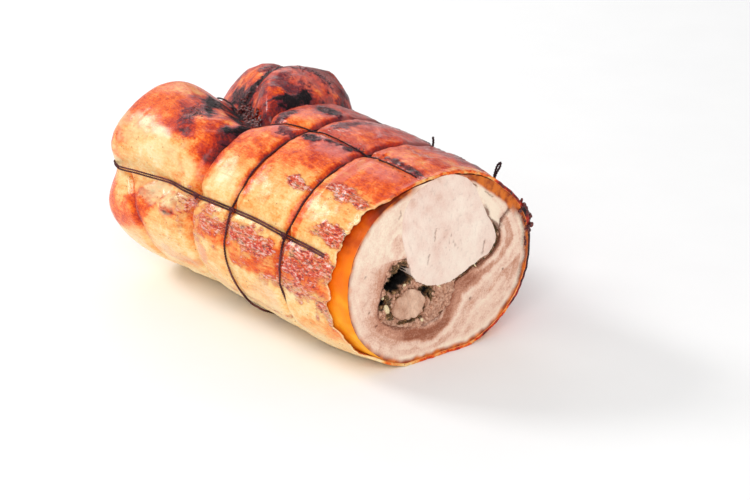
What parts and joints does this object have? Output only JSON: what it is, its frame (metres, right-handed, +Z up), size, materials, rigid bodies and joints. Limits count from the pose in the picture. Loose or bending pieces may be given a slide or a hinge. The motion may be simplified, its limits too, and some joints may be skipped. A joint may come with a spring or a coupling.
{
  "type": "porchetta",
  "caption": "Rolled pork roast tied with browned twine: blistered rind outside, and a cut end showing the pale loin, dark herb filling and layered belly.",
  "frame": {"origin": "middle of the bounding box's base, on the surface the roast rests on", "axes": "+X along the roast, out of the cut end; +Z up; the near side with the paired strings is -Y"},
  "size_m": [0.3246, 0.2108, 0.17],
  "materials": {
    "rind": "roasted, glossy, blistered, charred in places",
    "belly_meat": "cut, moist, layers of fat and lean",
    "loin_meat": "cut, moist, fine grain",
    "tenderloin_meat": "cut, moist, fine grain",
    "herbs": "dark packed herbs",
    "twine": "browned, charred cotton twine"
  },
  "bodies": {
    "root": {"belly_wrap": "rind", "loin": "loin_meat", "tenderloin": "tenderloin_meat", "herb_filling": "herbs", "ring_tie_front": "twine", "ring_tie_middle": "twine", "ring_tie_rear": "twine", "side_string_upper": "twine", "side_string_lower": "twine", "top_string": "twine", "knot_front": "twine", "knot_middle": "twine", "knot_rear": "twine"}
  },
  "joints": []
}
